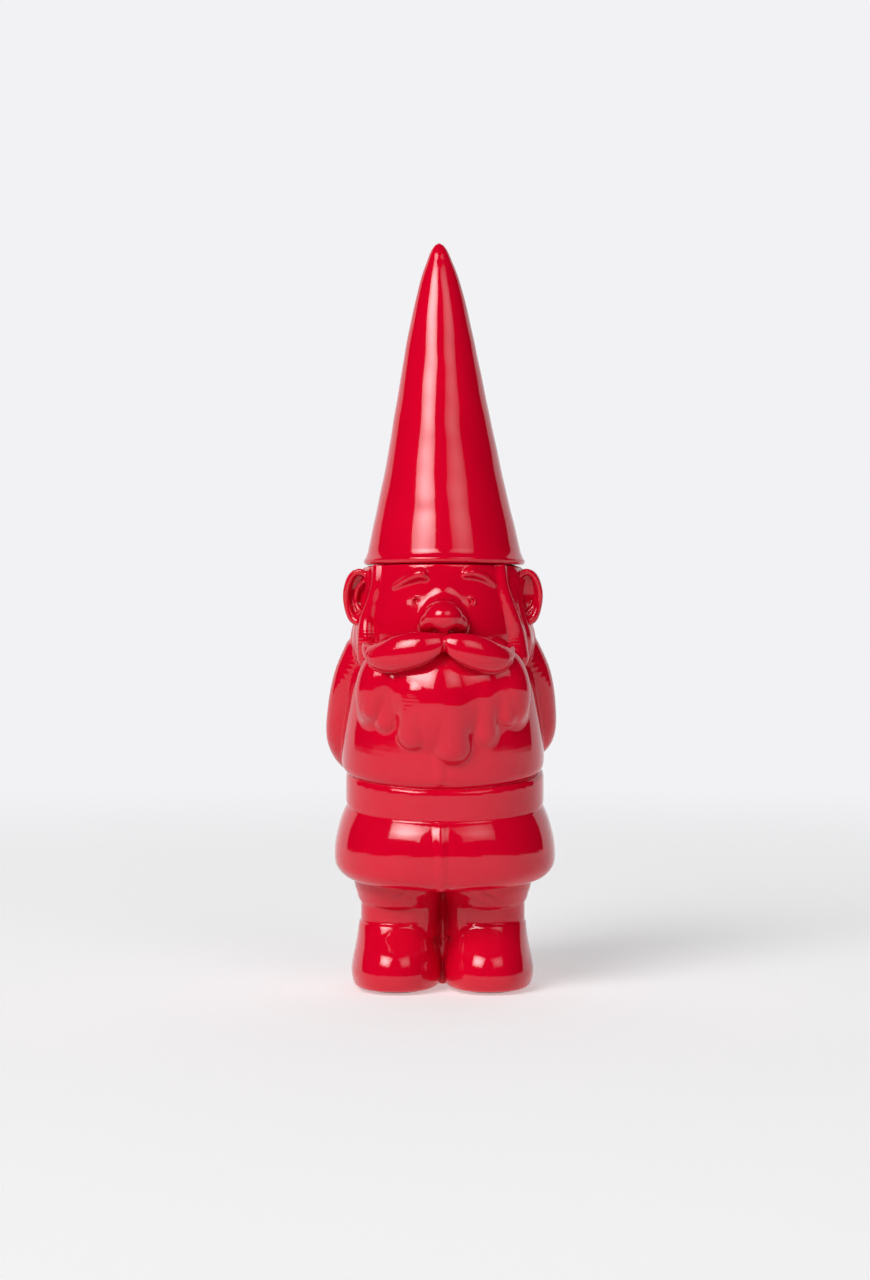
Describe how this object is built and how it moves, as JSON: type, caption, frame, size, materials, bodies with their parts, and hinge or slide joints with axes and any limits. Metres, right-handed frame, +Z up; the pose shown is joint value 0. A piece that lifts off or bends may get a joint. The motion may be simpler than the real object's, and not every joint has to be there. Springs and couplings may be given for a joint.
{
  "type": "garden gnome",
  "caption": "Standing garden gnome in glossy red glazed ceramic, hollow like a jar, with a tall pointed hat that lifts off as its lid",
  "frame": {"origin": "on the floor, below the axis of the hat", "axes": "+Z up to the tip of the hat, -Y the way the face looks, +X the figure's own left"},
  "size_m": [0.1261, 0.1265, 0.4],
  "materials": {
    "red_glaze": "one saturated red gloss glaze over white earthenware, wet-looking, slightly wavy",
    "silicone": "translucent white silicone, matte",
    "felt": "mid-grey pressed felt, matte"
  },
  "bodies": {
    "figure": {"head": "red_glaze", "coat_bodice": "red_glaze", "belt": "red_glaze", "coat_skirt": "red_glaze", "hair": "red_glaze", "beard": "red_glaze", "moustache": "red_glaze", "nose": "red_glaze", "ear_left": "red_glaze", "ear_right": "red_glaze", "brow_left": "red_glaze", "brow_right": "red_glaze", "eye_left": "red_glaze", "eye_right": "red_glaze", "arm_left": "red_glaze", "arm_right": "red_glaze", "hand_left": "red_glaze", "hand_right": "red_glaze", "trouser_left": "red_glaze", "trouser_right": "red_glaze", "boot_left": "red_glaze", "boot_right": "red_glaze", "foot_pad_left": "felt", "foot_pad_right": "felt"},
    "seal": {"hat_seal": "silicone"},
    "hat": {"hat": "red_glaze", "hat_collar": "red_glaze"}
  },
  "joints": [
    {"name": "hat_lift", "type": "slide", "parent": "figure", "child": "seal", "axis": [0, 0, 1], "range_m": [0, 0.1]},
    {"name": "hat_turn", "type": "hinge", "parent": "seal", "child": "hat", "pos_m": [0, 0, 0.2262], "axis": [0, 0, 1], "continuous": true}
  ]
}
